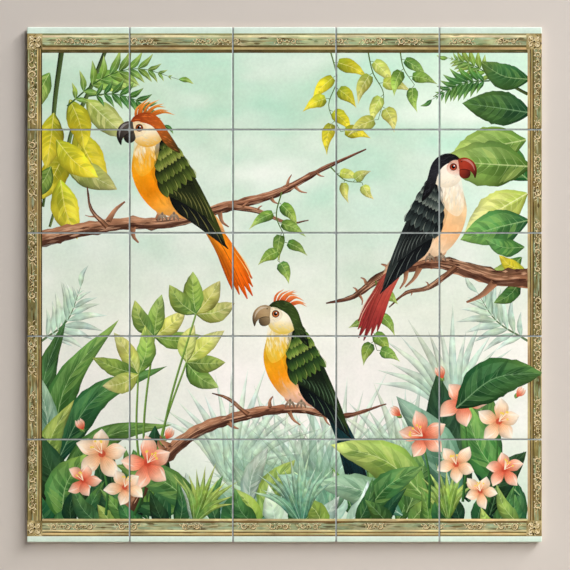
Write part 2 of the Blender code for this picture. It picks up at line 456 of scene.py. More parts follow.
def bird(plumage, feet, size, flip, lean, nod, tailTurn, crest, tailReach=1.0):
    look = plumages[plumage]
    feet = np.array(feet, float)

    def turned(p, angle, about):
        c, s = math.cos(math.radians(angle)), math.sin(math.radians(angle))
        return (p - about) @ np.array([[c, s], [-s, c]]) + about

    def at(points, turn=0.0, about=(0, 0), head=False):
        p = turned(np.array(points, float), nod if head else turn, (16, 88) if head else about)
        return turned(p, lean, (0, 0)) * [-size if flip else size, size] + feet

    def fill(outline, stops, start, end, head=False, **more):
        patch(at(outline, head=head), stops, at(start, head=head), at(end, head=head), **more)

    def line(points, widths, stops, head=True, **more):
        stroke(at(points, head=head), [w * size for w in widths], stops, **more)

    def feather(root, tip, width, stops, bow=0.0, edge="", turn=0.0, about=(0, 0), cover=1.0, quill=0.35):
        root, tip = np.array(root, float), np.array(tip, float)
        way = tip - root
        middle = (root + tip) / 2 + np.array([-way[1], way[0]]) * bow
        spine = at([root, middle, tip], turn, about)
        full = [width * size * w for w in (0.5, 0.85, 1.0, 1.0, 0.92, 0.64, 0.12)]
        light = between(0.9, 1.1)
        stroke(spine, full, [colour(c) * light for c in stops], shade=0.12, rim=0.2, count=10, mottle=0.07,
               size=8, cover=cover)
        if edge:
            off = np.array([way[1], -way[0]]) / np.linalg.norm(way) * width * 0.42
            stroke(at([root * 0.55 + tip * 0.45 + off, middle * 0.4 + tip * 0.6 + off, tip], turn, about),
                   [0, width * 0.13 * size, 0], [edge], count=7, cover=0.75)
        if quill:
            stroke(spine, [0.1 * width * size, 0.04 * width * size], ["0c0f10"], count=8, cover=quill,
                   mottle=0)

    def fuzz(count, spots, way, reach, width, tint, cover, head=False):
        # Short soft strokes of plumage, kept inside the part that they cover
        low, high = np.min(spots, 0), np.max(spots, 0)
        rim = np.array(spots, float)
        done = 0
        while done < count:
            root = np.array([between(low[0], high[0]), between(low[1], high[1])])
            heading = way(root) if callable(way) else way
            tip = root + direction(heading + between(-9, 9)) * between(0.7, 1.2) * reach
            if insideOf(np.array([root, tip]), rim).all():
                bent = (root + tip) / 2 + direction(heading + 90) * reach * 0.06
                line([root, bent, tip], [0, width, 0], [np.clip(tint(root), 0, 1)], head=head,
                     cover=between(0.4, 1.0) * cover, count=5, mottle=0)
                done += 1

    # Tail, the outer feathers first
    base = np.array([-35.0, 2.0])
    for off in (-8, 8, -5, 5, -1.8, 1.8):
        length = (112 - abs(off) * 2.6) * tailReach
        feather(base + [off * 0.5, 0], base + direction(236 + off) * length, 10.5, look["tail"],
                bow=-0.03 - off * 0.004, edge="" if abs(off) < 4 else look["tailEdge"], turn=tailTurn,
                about=base)
    for k in range(9):
        root = base + [12 - k * 2.6, 9 - k * 0.9]
        feather(root, root + direction(234 + between(-7, 7)) * between(20, 32), 6.5, look["belly"],
                turn=tailTurn * 0.7, about=base, cover=0.85, quill=0)

    # Thighs
    for x in (11, -2):
        fill([(x - 8, 22), (x + 8, 22), (x + 5, 7), (x + 1, 2), (x - 4, 8)], look["belly"], (x, 26), (x, 2),
             count=16, rim=0.15)

    # Body, lit from the front, with strokes that follow the plumage
    coat = look["breast"] + look["belly"]
    fill(birdLines["body"], coat, (34, 80), (-20, -4), count=56, rim=0.1, bulge=0.06, mottle=0.1)
    shadow = [(14, 84), (20, 68), (18, 46), (6, 24), (-20, 0), (-10, 20), (0, 50), (6, 80)]
    fill(shadow, [colour(c) * 0.72 for c in coat], (30, 80), (-14, 0), count=40, cover=0.45)

    def coatHue(spot):
        s = np.clip((86 - spot[1]) / 92 + between(-0.12, 0.12), 0, 1)
        light = 0.86 + 0.16 * np.clip((spot[0] + 12) / 44, 0, 1) + between(-0.05, 0.08)
        return ramp(coat, np.array([s]))[0] * light

    fuzz(95, birdLines["body"], lambda spot: 262 - 0.55 * max(0, 60 - spot[1]), 11, 2.6, coatHue, 0.65)

    # Folded wing: long flight feathers under rows of coverts
    fill(birdLines["wing"], look["wing"], (12, 90), (-54, -24), count=46, rim=0.12, mottle=0.12)
    for k in range(8):
        feather((-18 + k * 2.4, 30 - k * 1.0), (-63 + k * 6.2, -38 + k * 5.0), 8.0, look["flight"],
                bow=0.04, edge=look["edge"] if k % 2 else "")
    for k in range(8):
        feather((-18 + k * 3.2, 50 - k * 2.6), (-48 + k * 5.8, -8 + k * 4.2), 8.2,
                look["wing"][:2] + [look["wing"][1]], bow=0.05, edge=look["edge"])
    rows = ((7, (-16, 62), (11, 44), 24, 8.6, 0), (8, (-12, 70), (13, 54), 18, 7.6, 0),
            (8, (-9, 77), (14, 63), 13, 6.2, 1), (7, (-5, 83), (12, 72), 10, 5.2, 1),
            (5, (-1, 89), (9, 82), 8, 4.4, 0))
    for count, first, last, reach, width, bright in rows:
        for k in range(count):
            root = np.array(first) + (np.array(last) - first) * k / (count - 1)
            tip = root + direction(234 + k * 2.6 + between(-3, 3)) * reach
            feather(root, tip, width, look["coverts"] if bright
                    else [look["wing"][0], look["coverts"][0], look["coverts"][1]], bow=0.05,
                    edge=look["coverts"][2] if k % 2 == bright else "")

    # Neck and head
    fill(birdLines["neck"], [look["throat"]] * 2 + [look["breast"][0]] * 2, (26, 98), (30, 50), count=34,
         mottle=0.05, cover=0.62)
    fuzz(84, birdLines["neck"], 262, 9, 2.4,
         lambda spot: ramp([look["throat"], look["throat"], look["breast"][0]],
                           np.clip([(98 - spot[1]) / 44], 0, 1))[0] * between(0.9, 1.05), 0.75)
    for k in dice.permutation(crest):
        lift = 118 + k * (66 / (crest - 1)) + between(-4, 4)
        root = np.array([33 - k * 22 / crest, 112 + 3 * math.sin(k * 3.1 / crest)])
        tip = root + direction(lift) * between(20, 29) * (1 - 0.2 * abs(k / crest - 0.4))
        sag = direction(lift - 90) * between(2, 6)
        line([root, (root + tip) / 2 + sag, tip], [2.0, 3.1, 1.9, 0], look["crest"], shade=0.1, rim=0.1,
             count=8)
    fill(birdLines["head"], [look["throat"], look["throat"], look["breast"][0]], (22, 112), (22, 78),
         head=True, count=34, rim=0.08, mottle=0.05)
    fill(birdLines["cap"], look["cap"], (38, 106), (-10, 72), head=True, count=48, rim=0.05, mottle=0.12)
    fill(birdLines["mask"], [look["mask"], look["mask"], look["throat"]], (38, 108), (28, 90), head=True,
         count=28, rim=0.06, mottle=0.06)
    fuzz(18, birdLines["mask"], 200, 4, 0.9, lambda spot: colour(look["mask"]) * 0.8, 0.5, head=True)
    fuzz(34, birdLines["cap"], lambda spot: 184 + max(0, 24 - spot[0]) * 1.4, 6, 1.2,
         lambda spot: colour(look["cap"][1]) * 1.3 + 0.04, 0.5, head=True)
    fuzz(16, [(36, 95), (10, 91), (6, 84), (20, 80), (32, 84)], 212, 6, 1.4,
         lambda spot: colour(look["throat"]) * 0.9, 0.6, head=True)

    # Bill: a hooked upper half over a short lower one
    fill(birdLines["lower"], [colour(c) * 0.72 for c in look["bill"]], (36, 95), (47, 86), head=True,
         count=30, rim=0.05)
    fill(birdLines["upper"], look["bill"], (38, 108), (54, 86), head=True, count=44, rim=0.12)
    line([(40, 108), (47, 106.4), (52, 100.6), (53.6, 93)], [0, 2.6, 2.0, 0],
         [colour(look["bill"][0]) * 0.4 + 0.55], cover=0.6, count=10)
    line([(37, 96.8), (42, 96.8), (47.4, 94.6), (50.8, 90.2)], [0.8, 0.7, 0], ["140f0e"], cover=0.8,
         count=10)
    line([(39.4, 106.4), (41.2, 106.2)], [1.2, 0.8], ["140f0e"], cover=0.7, count=4)

    # Eye
    eye = at((30, 101.5), head=True)
    disc(eye, 4.3 * size, [look["ring"]], count=16)
    disc(eye, 3.4 * size, [look["iris"], colour(look["iris"]) * 0.7], count=16)
    disc(eye, 2.1 * size, ["08090a"], count=14)
    disc(eye + np.array([0.9, 1.2]) * size, 0.75 * size, ["ffffff"], count=8)

    # Feet that grip the branch
    for x in (-4, 9):
        line([(x - 0.4, 5.5), (x, 3.5), (x + 0.3, 0.8)], [1.6, 3.0, 2.8], ["8d7a62", "5c4c3c"], head=False,
             count=6)
        for reach in (-4.6, 0, 4.6):
            toe = [(x + reach * 0.15, 2.4), (x + reach * 0.6, 1.0), (x + reach, -2.0),
                   (x + reach * 1.1, -4.8)]
            line(toe, [2.6, 2.9, 2.3, 0.5], ["a8937a", "6a5848"], head=False, count=8, rim=0.1)


# The sky's colours from the bottom up, and the size, seed and depth of its washes
sky = {"stops": ["bcd6bb", "dce8d6", "f2f2e6", "f7f4e9", "eef1e0", "dfead8", "daead7", "d2e6d0", "cbe3ca",
                 "d6ead5"],
       "washes": ((150, 3, 0.04), (52, 8, 0.026), (20, 5, 0.012))}


# The washed sky: mint above, fading to cream, with a faint green mist low down
def ground(points):
    height = points[:, 1] / mural["side"]
    c = ramp(sky["stops"], height)
    wash = sum(blotches(points, size, seed) * depth for size, seed, depth in sky["washes"])
    drift = blotches(points * [1, 2.6], 130, 7) + 0.5 * blotches(points * [1, 2.2], 46, 2)
    cloud = np.clip(drift, 0, 1) * np.clip(height * 2.4 - 0.9, 0.15, 1)
    mint = np.clip(-drift, 0, 1) * np.clip(height * 2.4 - 0.9, 0, 1)
    right = np.clip((points[:, 0] - 420) / 330, 0, 1)[:, None] * np.clip(height - 0.45, 0, 1)[:, None]
    hue = c + wash[:, None] * [1.0, 0.6, 0.9] + right * 0.12
    return np.clip(hue + cloud[:, None] * [0.1, 0.055, 0.075] - mint[:, None] * [0.095, 0.022, 0.04], 0, 1)


# The printed moulding, one entry for each side: widths and colours of its lines from the outer edge inwards
moulding = {"left": 0.0, "right": mural["side"], "bottom": 9.0, "top": 758.4,
            "topLines": [(2.7, "938b60"), (3.4, "dccda2"), (11.6, "a3a67c"), (3.2, "6a5632"),
                         (3.4, "bda06b"), (4.4, "5c4d2e")],
            "bottomLines": [(2.2, "846e44"), (2.6, "cab27b"), (2.0, "745a33"), (2.6, "dac894"),
                            (10.4, "a6a77e"), (2.8, "654e2a"), (2.8, "d2ba87")],
            "leftLines": [(1.5, "46371c"), (14.0, "907d4e"), (1.9, "c6af79"), (1.7, "5a4524"),
                          (1.9, "ad8f58"), (1.4, "493b20")],
            "rightLines": [(1.2, "a89566"), (11.2, "807146"), (1.8, "574324"), (2.0, "ab8f5b"),
                           (1.7, "624a28"), (3.2, "bba173")],
            "patina": ["92a886", "7f9878", "a8b996", "b3c2a0", "ab9a68", "7a693c", "c9ba8e", "544122",
                       "6f7d50", "3f3119"]}


# Start, direction along, direction inwards and length of one side of the moulding
def sideFrame(name):
    m = moulding
    wide, high = m["right"] - m["left"], m["top"] - m["bottom"]
    return {
        "top": ((m["left"], m["top"]), (1, 0), (0, -1), wide),
        "bottom": ((m["left"], m["bottom"]), (1, 0), (0, 1), wide),
        "left": ((m["left"], m["bottom"]), (0, 1), (1, 0), high),
        "right": ((m["right"], m["bottom"]), (0, 1), (-1, 0), high),
    }[name]


# One C-scroll, as a dark stroke under a gold one with a cream light on it
def curl(centre, along, inward, size, start, turns, way=1):
    t = np.linspace(0, 1, 14)
    turn = math.radians(start) + way * t * turns * 2 * math.pi
    radius = size * (1 - 0.72 * t)
    p = centre + np.outer(np.cos(turn) * radius, along) + np.outer(np.sin(turn) * radius, inward)
    drift = np.array([0.35, -0.45])
    stroke(p + drift, [size * 0.2, size * 0.55, size * 0.45, size * 0.3], ["2e2312"], cover=0.85, count=16,
           mottle=0)
    stroke(p, [size * 0.12, size * 0.38, size * 0.3, size * 0.22], ["9c7f48", "c8ad72", "8d7040"], count=16)
    stroke(p - drift * 0.6, [0, size * 0.15, size * 0.12, 0], ["f6ecc8"], cover=0.9, count=14, mottle=0)


# A cluster of mirrored scrolls, leaf flicks and beads along the moulding
def scrollwork(centre, along, inward, reach, size, busy):
    centre, along, inward = (np.array(v, float) for v in (centre, along, inward))
    for _ in range(int(6 * busy)):
        spot = centre + along * between(-reach, reach) + inward * between(-size, size) * 0.8
        stroke([spot, spot + along * between(-5, 5) + inward * between(-2.5, 2.5)],
               [0, between(1.0, 2.2), 0], ["2a1f0c" if between(0, 1) < 0.7 else "e3d2a0"],
               cover=between(0.45, 0.85), count=5)
    for way in (-1, 1):
        curl(centre + along * way * reach * between(0.42, 0.64), along * way, inward,
             size * between(0.8, 1.05), between(170, 235), between(0.85, 1.15), 1)
        curl(centre + along * way * reach * between(0.1, 0.26) - inward * size * between(0.1, 0.4),
             along * way, -inward, size * between(0.5, 0.72), between(120, 180), 0.9, 1)
        for k in range(4):
            out, drop = between(0.24, 0.36) + 0.18 * k, between(-0.2, 0.3)
            root = centre + along * way * reach * out - inward * size * drop
            tip = root + along * way * size * between(0.5, 1.1) + inward * size * (0.75 if k % 2 else -0.8)
            stroke([root, (root + tip) / 2 + along * way, tip], [0, size * 0.34, 0], ["b3935a", "f1e4ba"],
                   count=6)
            stroke([root + 0.4, tip + 0.4], [0, size * 0.12, 0], ["3a2c14"], cover=0.8, count=4)
    disc(centre, size * 0.42, ["7a6234", "ead9a4"], count=12)
    disc(centre, size * 0.2, ["3b2d15"], count=9)
    for k in range(5):
        disc(centre + along * (k - 2) * reach * 0.4 + inward * size * 0.75, size * 0.13, ["f4e9c4"],
             count=7)


def mouldingSide(name, clusters):
    start, along, inward, length = sideFrame(name)
    start, along, inward = (np.array(v, float) for v in (start, along, inward))
    depth = 0.0
    field = (0.0, 0.0)
    for width, tone in moulding[name + "Lines"]:
        steps = np.linspace(0, length, 40)
        line = start + np.outer(steps, along) + inward * (depth + width / 2)
        hues = [colour(tone) * between(0.86, 1.12) + (between(-0.03, 0.03), between(-0.01, 0.03), 0)
                for _ in range(24)]
        stroke(line, [width + 0.5] * 2, [np.clip(h, 0, 1) for h in hues], count=40, mottle=0.12, size=7,
               shade=0.05)
        if width > 9:
            field = (depth, width)
        depth += width
    for _ in range(int(length / 1.75)):
        run = between(5, 34)
        at = between(0, length - run)
        inside = between(0, 1) < 0.62
        down = field[0] + between(0.06, 0.94) * field[1] if inside else between(0.6, depth - 0.6)
        root = start + along * at + inward * down
        tip = root + along * run + inward * between(-0.5, 0.5)
        hue = moulding["patina"][dice.integers(len(moulding["patina"]))]
        wide = between(1.2, 3.6) if inside else between(0.4, 1.0)
        stroke([root, (root + tip) / 2 + inward * between(-0.4, 0.4), tip], [0, wide, wide * 0.8, 0], [hue],
               cover=between(0.3, 0.75) if inside else 0.5, count=7, mottle=0.15, size=5)
    middle = field[0] + field[1] / 2
    for at, reach, size in clusters:
        scrollwork(start + along * at + inward * middle, along, inward, reach, size, busy=reach / 7)


# The busy square of scrolls where two sides of the moulding meet
def cornerPiece(centre, along, inward, size):
    centre = np.array(centre, float)
    square = [centre + a * np.array(along) * size + b * np.array(inward) * size for a, b in
              ((-1, -1), (1, -1), (1, 1), (-1, 1))]
    patch(square, ["8a7546", "c3b07c", "7b6a3e"], square[0], square[2], mottle=0.25, size=6)
    for _ in range(34):
        spot = centre + np.array([between(-size, size), between(-size, size)]) * 0.92
        tip = np.clip(spot + direction(between(0, 360)) * between(2, 6), centre - size + 1,
                      centre + size - 1)
        stroke([spot, tip], [0, between(1.0, 2.6), 0],
               [("2a200e", "2f2612", "efe3bd", "a98c52")[dice.integers(4)]], cover=0.85, count=5)
    for quarter in range(4):
        lead = direction(45 + 90 * quarter)
        curl(centre + lead * size * 0.52, lead, direction(135 + 90 * quarter), size * 0.42, 120, 1.1,
             1 - 2 * (quarter % 2))
        stroke([centre + lead * size * 0.1, centre + lead * size * 0.95], [0, size * 0.26, 0],
               ["b89a60", "f7efcf"], count=6)
    disc(centre, size * 0.26, ["6b5529", "f3e6b8"], count=14)
    disc(centre, size * 0.12, ["2b200d"], count=9)


# Where the scrolls of the moulding sit: their size and their places along each side
scrolls = {
    "top": (5.6, (58, 92, 172, 262, 300, 388, 462, 516, 570, 650, 716)),
    "bottom": (5.4, (52, 84, 150, 245, 330, 376, 420, 520, 606, 668, 716)),
    "left": (7.0, (56, 96, 128, 190, 262, 300, 372, 424, 462, 528, 570, 640, 676, 716)),
    "right": (6.0, (60, 100, 158, 190, 262, 300, 340, 410, 452, 520, 552, 604, 660, 708)),
    "corner": 11.6,
    "cornerPlaces": (((11.5, 1), (756.5, -1)), ((20.5, 1), (746.5, -1))),
    "margin": ["d0e5d0", "deecde"],
}


# The pale margin above and below, the four sides and the corner pieces
def paintMoulding():
    side = mural["side"]
    for low, high in ((0, moulding["bottom"]), (moulding["top"], side)):
        patch([(0, low), (side, low), (side, high), (0, high)], scrolls["margin"], (0, low), (0, high),
              mottle=0.03)
    for name in ("top", "bottom", "left", "right"):
        size, places = scrolls[name]
        mouldingSide(name, [(at, between(2.6, 3.8) * size, between(0.9, 1.06) * size) for at in places])
    for x, across in scrolls["cornerPlaces"][0]:
        for y, up in scrolls["cornerPlaces"][1]:
            cornerPiece((x, y), (across, 0), (0, up), scrolls["corner"])


# Pale foliage far behind, mostly haze: the root, heading and length of each fan, and the line of each frond
distance = {
    "hazeFans": [((470, 60), 96, 235), ((560, 80), 80, 190), ((392, 70), 108, 170), ((640, 190), 100, 170),
                 ((300, 90), 80, 190)],
    "seaFans": [((430, 40), 92, 190), ((520, 50), 70, 150), ((344, 44), 112, 130), ((610, 60), 104, 170)],
    "fronds": [[(22, 300), (60, 330), (80, 380)], [(747, 300), (700, 330), (672, 372)]],
}


def paintDistance():
    for root, heading, reach in distance["hazeFans"]:
        fan(root, heading, 118, 15, reach, "haze", width=14, cover=0.7)
    for root, heading, reach in distance["seaFans"]:
        fan(root, heading, 105, 13, reach, "sea", width=13, cover=0.5)
    for line in distance["fronds"]:
        frond(line, 9, 60, "haze", cover=0.8)


# Foliage that hangs in from the upper corners. A leaf has its root, heading, length and green. A frond or a
# vine has its line, the number and length of its leaves and their green, and a frond also how wide they are.
corners = {"stems": [([(52, 735), (42, 660), (36, 585), (24, 500)], [8, 7, 5.5, 4],
                      ["3c4a28", "56693a", "465a30"]),
                     ([(118, 735), (96, 680), (66, 610), (54, 540), (34, 470)], [6, 6.5, 5.5, 4],
                      ["445430", "5f7340", "66753c"])],
           "leftLeaves": [((60, 590), 242, 92, "lemon"), ((72, 615), 300, 96, "lemon"),
                          ((88, 660), 318, 88, "spring"), ((40, 640), 262, 84, "lemon"),
                          ((50, 540), 286, 92, "lemon"), ((58, 560), 336, 84, "spring"),
                          ((36, 560), 232, 60, "fresh"), ((96, 690), 352, 70, "fresh"),
                          ((34, 700), 250, 62, "fresh"), ((64, 660), 286, 78, "lemon"),
                          ((44, 600), 318, 84, "lemon")],
           "leftFronds": [([(60, 650), (110, 690), (165, 706), (226, 690)], 11, 40, "fresh", 0.3),
                          ([(92, 665), (130, 668), (170, 655), (205, 622)], 9, 32, "rich", 0.3)],
           "vines": [([(452, 735), (462, 690), (450, 650), (468, 612)], 6, 46, "lemon"),
                     ([(508, 735), (516, 700), (532, 668), (524, 630)], 5, 44, "spring"),
                     ([(556, 735), (562, 706), (578, 682)], 3, 40, "fresh")],
           "twig": ([(747, 668), (700, 690), (650, 690), (606, 664)], [5, 4, 2.4, 1.2],
                    ["3d4a26", "5a6a34"]),
           "rightFronds": [([(700, 690), (664, 712), (628, 722)], 8, 30, "fresh", 0.32),
                           ([(690, 688), (650, 684), (604, 660)], 9, 34, "rich", 0.3)],
           "rightLeaves": [((748, 540), 152, 112, "rich"), ((744, 600), 200, 128, "fresh"),
                           ((752, 640), 172, 104, "deep"), ((746, 520), 212, 110, "spring"),
                           ((752, 560), 176, 138, "fresh"), ((748, 480), 196, 106, "rich"),
                           ((750, 690), 160, 78, "rich")],
           "lowerLeaves": [((742, 440), 168, 60, "rich"), ((738, 425), 206, 56, "fresh"),
                           ((744, 405), 150, 46, "lemon"), ((736, 390), 220, 52, "rich")]}


def paintCorners():
    for line, widths, tones in corners["stems"]:
        stroke(line, widths, tones, shade=0.4, rim=0.3)
    for root, heading, reach, tone in corners["leftLeaves"]:
        leaf(root, heading, reach, reach * 0.46, tone, "oval", bend=between(-0.1, 0.1), ribs=7)
    for row in corners["leftFronds"]:
        frond(*row)
    for row in corners["vines"]:
        vine(*row)
    stroke(*corners["twig"], shade=0.3)
    for row in corners["rightFronds"]:
        frond(*row)
    for root, heading, reach, tone in corners["rightLeaves"]:
        leaf(root, heading, reach, reach * 0.5, tone, "oval", bend=between(-0.12, 0.12), ribs=8)
    for root, heading, reach, tone in corners["lowerLeaves"]:
        leaf(root, heading, reach, reach * 0.44, tone, "oval", ribs=5)


# The growth on the left and along the bottom. A leaf has its root, heading, length, width, green and bend.
undergrowth = {
    "tufts": 42,
    "clearing": (230, 500),     # between these the growth stays lower and paler
    "darkTones": ("ink", "deep", "deep", "rich"),
    "paleTones": ("sea", "haze", "rich", "sea"),
    "straps": [((30, 130), 82, 205, 44, "deep", 0.1), ((34, 120), 64, 236, 46, "rich", 0.12),
               ((40, 110), 42, 228, 44, "deep", 0.16), ((30, 110), 100, 170, 36, "sea", -0.08),
               ((46, 92), 26, 190, 38, "rich", 0.14), ((26, 90), 70, 130, 38, "fresh", 0.1)],
    "broad": [((96, 36), 122, 150, 62, "ink", 0.1), ((150, 30), 74, 150, 58, "ink", -0.1),
              ((52, 30), 70, 108, 60, "rich", 0.12), ((214, 34), 118, 118, 58, "deep", 0.1),
              ((120, 24), 40, 120, 54, "deep", 0.14)],
    "stalks": [((176, 60), (190, 306), 60), ((182, 60), (238, 268), 20), ((178, 60), (166, 250), 140),
               ((186, 60), (252, 340), 74)],      # foot, top and the way the leaves there fan out
    "fanTurns": (-58, -20, 20, 58),
}


def leafRows(rows, form, ribs):
    for root, heading, reach, width, tone, bend in rows:
        leaf(root, heading, reach, width, tone, form, bend=bend, ribs=ribs)


def paintUndergrowth():
    low, high = undergrowth["clearing"]
    for _ in range(undergrowth["tufts"]):
        x = between(20, 748)
        clear = low < x < high
        tones = undergrowth["paleTones" if clear else "darkTones"]
        leaf((x, between(10, 40)), between(50, 130), between(60, 120) * (0.85 if clear else 1),
             between(26, 44), tones[dice.integers(4)], "lance", ribs=5, bend=between(-0.15, 0.15))
    leafRows(undergrowth["straps"], "lance", 13)
    leafRows(undergrowth["broad"], "oval", 8)
    for foot, top, heading in undergrowth["stalks"]:
        stem([foot, ((foot[0] + top[0]) / 2 - 8, (foot[1] + top[1]) / 2), top], "fresh", 4)
        for turn in undergrowth["fanTurns"]:
            leaf(top, heading + turn, between(56, 76), between(26, 32),
                 ("spring", "fresh")[dice.integers(2)], "oval", bend=turn / 600, ribs=8)


# The nearest leaves along the bottom and up the right side
foreground = {
    "broad": [((660, 60), 104, 200, 62, "ink", 0.06), ((566, 44), 78, 130, 46, "rich", -0.08),
              ((600, 60), 150, 170, 60, "fresh", -0.12), ((640, 50), 118, 190, 58, "sea", -0.1),
              ((700, 60), 96, 210, 56, "deep", 0.05), ((560, 40), 160, 140, 48, "sea", -0.1),
              ((735, 70), 120, 170, 52, "rich", 0.1), ((330, 50), 72, 96, 30, "haze", 0.1),
              ((262, 40), 150, 150, 46, "rich", -0.1), ((350, 36), 60, 100, 38, "fresh", 0.1),
              ((690, 40), 60, 110, 44, "ink", 0.1), ((450, 36), 140, 100, 40, "sea", -0.1),
              ((500, 36), 40, 120, 40, "rich", 0.1)],
    "tones": ("deep", "rich", "fresh", "deep"),
    "spacing": 24,
    "fans": [((250, 30), 70, 90, 11, 96, "fresh"), ((410, 28), 100, 96, 13, 104, "sea"),
             ((628, 34), 92, 80, 9, 90, "fresh")],      # root, heading, spread, blades, length and green
}


def paintForeground():
    leafRows(foreground["broad"], "oval", 9)
    low, high = undergrowth["clearing"]
    for x in range(40, 740, foreground["spacing"]):
        tones = ("haze" if low < x < high else "ink", *foreground["tones"])
        leaf((x + between(-8, 8), between(12, 26)), between(40, 140), between(50, 82), between(20, 32),
             tones[dice.integers(5)], "lance", ribs=6, bend=between(-0.2, 0.2))
    for row in foreground["fans"]:
        fan(*row, width=9)


# Branches with their line, widths and number of side twigs, vines as in the corners, birds by the place of
# their feet, and flowers with their centre, size, colour and heading
picture = {
    "upperBranches": [([(12, 450), (70, 463), (140, 475), (214, 477), (296, 500), (372, 520), (440, 556),
                        (506, 586)], [24, 21, 19, 17, 15, 12, 7, 2], 8),
                      ([(300, 500), (344, 494), (388, 476), (420, 480)], [9, 7, 4, 1.5], 2),
                      ([(120, 470), (96, 496), (90, 530)], [8, 5, 2], 1)],
    "upperVines": [([(380, 522), (372, 486), (384, 452), (374, 420)], 6, 38, "fresh"),
                   ([(452, 560), (474, 540), (500, 536)], 3, 32, "spring")],
    "rightBranches": [([(756, 396), (700, 394), (640, 412), (590, 416), (530, 396), (486, 366), (446, 356)],
                       [29, 25, 21, 18, 14, 8, 2], 9),
                      ([(640, 410), (600, 380), (566, 372), (540, 350)], [10, 7, 5, 1.5], 2)],
    "rightVines": [([(520, 390), (526, 352), (514, 318), (522, 286)], 6, 38, "fresh")],
    "lowerBranches": [([(150, 50), (196, 118), (256, 166), (326, 190), (400, 199), (470, 188), (536, 206)],
                       [22, 20, 17, 15, 13, 8, 2], 8),
                      ([(330, 190), (300, 214), (276, 222)], [7, 5, 1.5], 1)],
    "lowerVines": [],
    "flowerStems": [((118, 40), (112, 118)), ((160, 40), (176, 108)), ((600, 50), (590, 150)),
                    ((650, 60), (652, 196)), ((690, 60), (700, 168))],
    "flowers": [((112, 132), 42, "peach", 120), ((180, 118), 42, "coral", 60), ((146, 82), 31, "peach", 80),
                ((590, 158), 39, "coral", 140), ((652, 208), 41, "coral", 100), ((704, 180), 37, "peach", 50),
                ((640, 116), 32, "peach", 90), ((712, 108), 30, "coral", 60),
                ((676, 76), 27, "peach", 100), ((84, 92), 28, "coral", 110)],
    "buds": [((206, 150), 62, 22), ((86, 164), 118, 22), ((622, 240), 112, 24), ((690, 232), 72, 24),
             ((728, 214), 50, 20), ((560, 186), 140, 22)],      # root, heading and size
    "birds": {"amber": {"feet": (214, 485), "size": 1.34, "flip": True, "lean": -2, "nod": -5,
                        "tailTurn": 6, "crest": 8},
              "rose": {"feet": (606, 424), "size": 1.3, "flip": False, "lean": 3, "nod": 6,
                       "tailTurn": 4, "crest": 0, "tailReach": 0.98},
              "gold": {"feet": (404, 206), "size": 1.3, "flip": True, "lean": 2, "nod": 4,
                       "tailTurn": 10, "crest": 9}},
    "overlap": ((640, 200), 22, 140, 62, "deep"),       # the leaf that lies over the moulding
}


def paintBranches(level):
    for row in picture[level + "Branches"]:
        branch(*row)
    for row in picture[level + "Vines"]:
        vine(*row)


def paintFlowers():
    for foot, top in picture["flowerStems"]:
        stem([foot, ((foot[0] + top[0]) / 2 + 5, (foot[1] + top[1]) / 2), top], "rich", 4.2)
    for row in picture["flowers"]:
        blossom(*row)
    for root, heading, size in picture["buds"]:
        bud(np.array(root, float), heading, size, "coral")


# The whole picture, from the far haze to the leaf that lies over the moulding
def paintPicture():
    paintDistance()
    paintCorners()
    paintBranches("upper")
    paintBranches("right")
    bird("amber", **picture["birds"]["amber"])
    bird("rose", **picture["birds"]["rose"])
    paintUndergrowth()
    paintBranches("lower")
    bird("gold", **picture["birds"]["gold"])
    paintForeground()
    paintFlowers()
    paintMoulding()
    root, heading, reach, width, tone = picture["overlap"]
    leaf(root, heading, reach, width, tone, bend=0.14, ribs=10)


def linear(hue):
    return np.where(hue <= 0.04045, hue / 12.92, ((hue + 0.055) / 1.055)**2.4)


# One socket of a node tree, so that shader maths reads as plain expressions
class Wire:
    def __init__(self, nodes, socket):
        self.nodes, self.socket = nodes, socket

    def math(self, operation, *values):
        return self.nodes.node("ShaderNodeMath", {"operation": operation}, dict(enumerate(values)))

    def __add__(self, other):
        return self.math("ADD", self, other)

    def __sub__(self, other):
        return self.math("SUBTRACT", self, other)

    def __rsub__(self, other):
        return self.math("SUBTRACT", other, self)

    def __mul__(self, other):
        return self.math("MULTIPLY", self, other)

    def __abs__(self):
        return self.math("ABSOLUTE", self)

    __radd__ = __add__
    __rmul__ = __mul__


# A node tree: nodes are added by type, with their settings first and then what their sockets take
class Nodes:
    def __init__(self, tree):
        self.tree = tree

    def node(self, kind, settings, sockets, output=0):
        made = self.tree.nodes.new(kind)
        for name, value in settings.items():
            setattr(made, name, value)
        for name, value in sockets.items():
            if isinstance(value, Wire):
                self.tree.links.new(value.socket, made.inputs[name])
            else:
                made.inputs[name].default_value = value
        return Wire(self, made.outputs[output])


# A material in the making, around one Principled shader with its constants set
class Finish(Nodes):
    def __init__(self, name, **constants):
        self.material = bpy.data.materials.new(name)
        self.material.use_nodes = True
        super().__init__(self.material.node_tree)
        self.shader = self.tree.nodes["Principled BSDF"]
        self.place = self.node("ShaderNodeTexCoord", {}, {}, "Object")
        for socket, value in constants.items():
            self.shader.inputs[socket.replace("_", " ")].default_value = value

    def noise(self, scale, detail=3.0, roughness=0.55):
        sockets = {"Vector": self.place, "Scale": scale, "Detail": detail, "Roughness": roughness}
        return self.node("ShaderNodeTexNoise", {}, sockets)

    def blend(self, factor, a, b, mode="MIX"):
        return self.node("ShaderNodeMix", {"data_type": "RGBA", "blend_type": mode},
                         {0: factor, 6: a, 7: b}, 2)

    def band(self, value, low, high):
        return self.node("ShaderNodeMapRange", {"interpolation_type": "SMOOTHSTEP"},
                         {0: value, 1: low, 2: high})

    def bump(self, height, distance=1.0):
        return self.node("ShaderNodeBump", {}, {"Height": height, "Distance": distance})

    def give(self, **wires):
        for name, wire in wires.items():
            self.tree.links.new(wire.socket, self.shader.inputs[name.replace("_", " ")])
        return self.material


